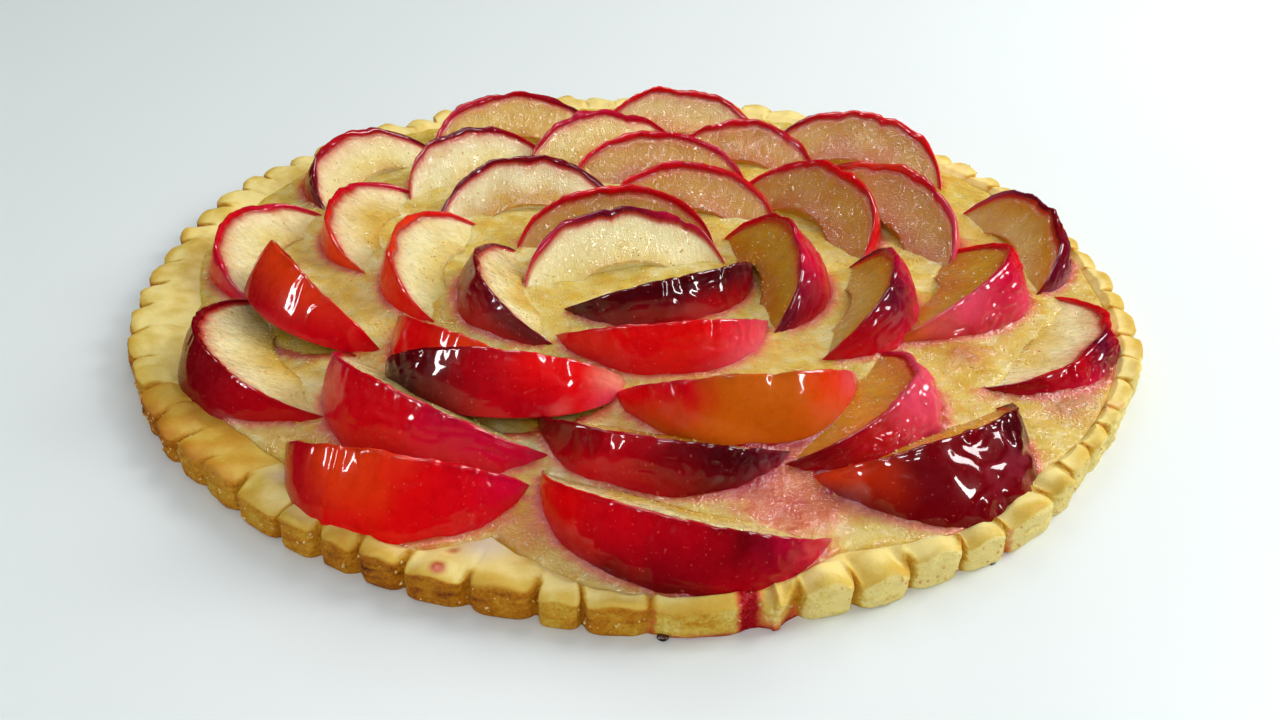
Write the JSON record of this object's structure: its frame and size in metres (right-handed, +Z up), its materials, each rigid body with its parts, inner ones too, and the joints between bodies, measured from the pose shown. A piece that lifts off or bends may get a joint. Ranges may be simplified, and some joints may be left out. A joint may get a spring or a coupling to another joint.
{
  "type": "white peach tart",
  "caption": "Round free-form tart: a thin crust with a knife-cut border, almond cream, and rings of unpeeled white peach slices lying skin outwards.",
  "frame": {"origin": "centre of the crust's flat underside", "axes": "+Z up through the tart, -Y towards the front of the picture, +X to its right"},
  "size_m": [0.3006, 0.3019, 0.0293],
  "materials": {
    "crust": "matt baked pastry, pale gold on top and browner on the cut lobes",
    "cream": "grainy baked almond cream, moist, stained pink by the fruit",
    "peach": "glossy wrinkled red to purple skin over pale moist flesh"
  },
  "bodies": {
    "root": {"crust": "crust", "cream": "cream", "peach_centre_1": "peach", "peach_centre_2": "peach", "peach_first_1": "peach", "peach_first_2": "peach", "peach_first_3": "peach", "peach_first_4": "peach", "peach_first_5": "peach", "peach_second_1": "peach", "peach_second_2": "peach", "peach_second_3": "peach", "peach_second_4": "peach", "peach_second_5": "peach", "peach_second_6": "peach", "peach_second_7": "peach", "peach_second_8": "peach", "peach_third_1": "peach", "peach_third_2": "peach", "peach_third_3": "peach", "peach_third_4": "peach", "peach_third_5": "peach", "peach_third_6": "peach", "peach_third_7": "peach", "peach_third_8": "peach", "peach_third_9": "peach", "peach_third_10": "peach", "peach_outer_1": "peach", "peach_outer_2": "peach", "peach_outer_3": "peach", "peach_outer_4": "peach", "peach_outer_5": "peach", "peach_outer_6": "peach", "peach_outer_7": "peach", "peach_outer_8": "peach", "peach_outer_9": "peach", "peach_outer_10": "peach", "peach_outer_11": "peach"}
  },
  "joints": []
}
